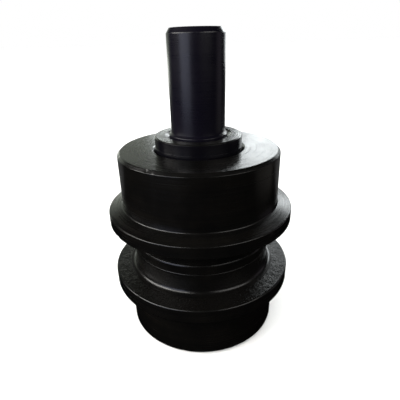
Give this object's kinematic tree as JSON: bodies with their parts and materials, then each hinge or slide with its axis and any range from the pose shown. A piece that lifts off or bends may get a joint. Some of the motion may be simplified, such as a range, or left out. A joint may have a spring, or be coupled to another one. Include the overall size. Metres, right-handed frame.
{
  "type": "track carrier roller",
  "caption": "Double-flanged steel carrier roller for an excavator track, turning on a fixed shaft that sticks out at one end through a sealing collar.",
  "frame": {"origin": "centre of the flat end face of the shell at the cover end, which the roller stands on", "axes": "+Z along the roller's axis towards the free end of the shaft; +X and +Y square to it (the roller is round, so their heading is free; the snap ring's gap faces +X)"},
  "size_m": [0.1084, 0.1084, 0.173],
  "materials": {
    "painted_forging": "satin black paint over forged and turned steel",
    "painted_weld": "satin black paint over a machine-laid weld bead",
    "painted_collar": "satin black paint over fine turned rings",
    "shaft_steel": "smooth ground steel, black oxide under a thin coat, semi-gloss",
    "painted_cover": "satin black paint over turned steel",
    "machined_steel": "turned, oiled",
    "fastener_steel": "black oxide",
    "seal_iron": "lapped face, as-cast back",
    "bush_bronze": "bored bronze",
    "seal_rubber": "matt black"
  },
  "bodies": {
    "shaft_group": {"axle": "shaft_steel", "seal_collar": "painted_collar", "collar_o_ring": "seal_rubber", "seal_ring_fixed": "seal_iron", "toric_ring_fixed": "seal_rubber", "thrust_plate": "machined_steel", "retaining_bolts": "fastener_steel", "spring_washers": "fastener_steel"},
    "roller_group": {"shell_shaft_half": "painted_forging", "shell_cover_half": "painted_forging", "weld_seam": "painted_weld", "bush_shaft_side": "bush_bronze", "bush_cover_side": "bush_bronze", "seal_ring_turning": "seal_iron", "toric_ring_turning": "seal_rubber", "thrust_washer_inner": "bush_bronze", "thrust_washer_outer": "bush_bronze", "washer_dowels": "machined_steel", "cover": "painted_cover", "cover_o_ring": "seal_rubber", "snap_ring": "fastener_steel", "oil_plug": "fastener_steel"}
  },
  "joints": [
    {"name": "roller_spin", "type": "hinge", "parent": "shaft_group", "child": "roller_group", "pos_m": [0, 0, 0.056], "axis": [0, 0, 1], "continuous": true}
  ]
}
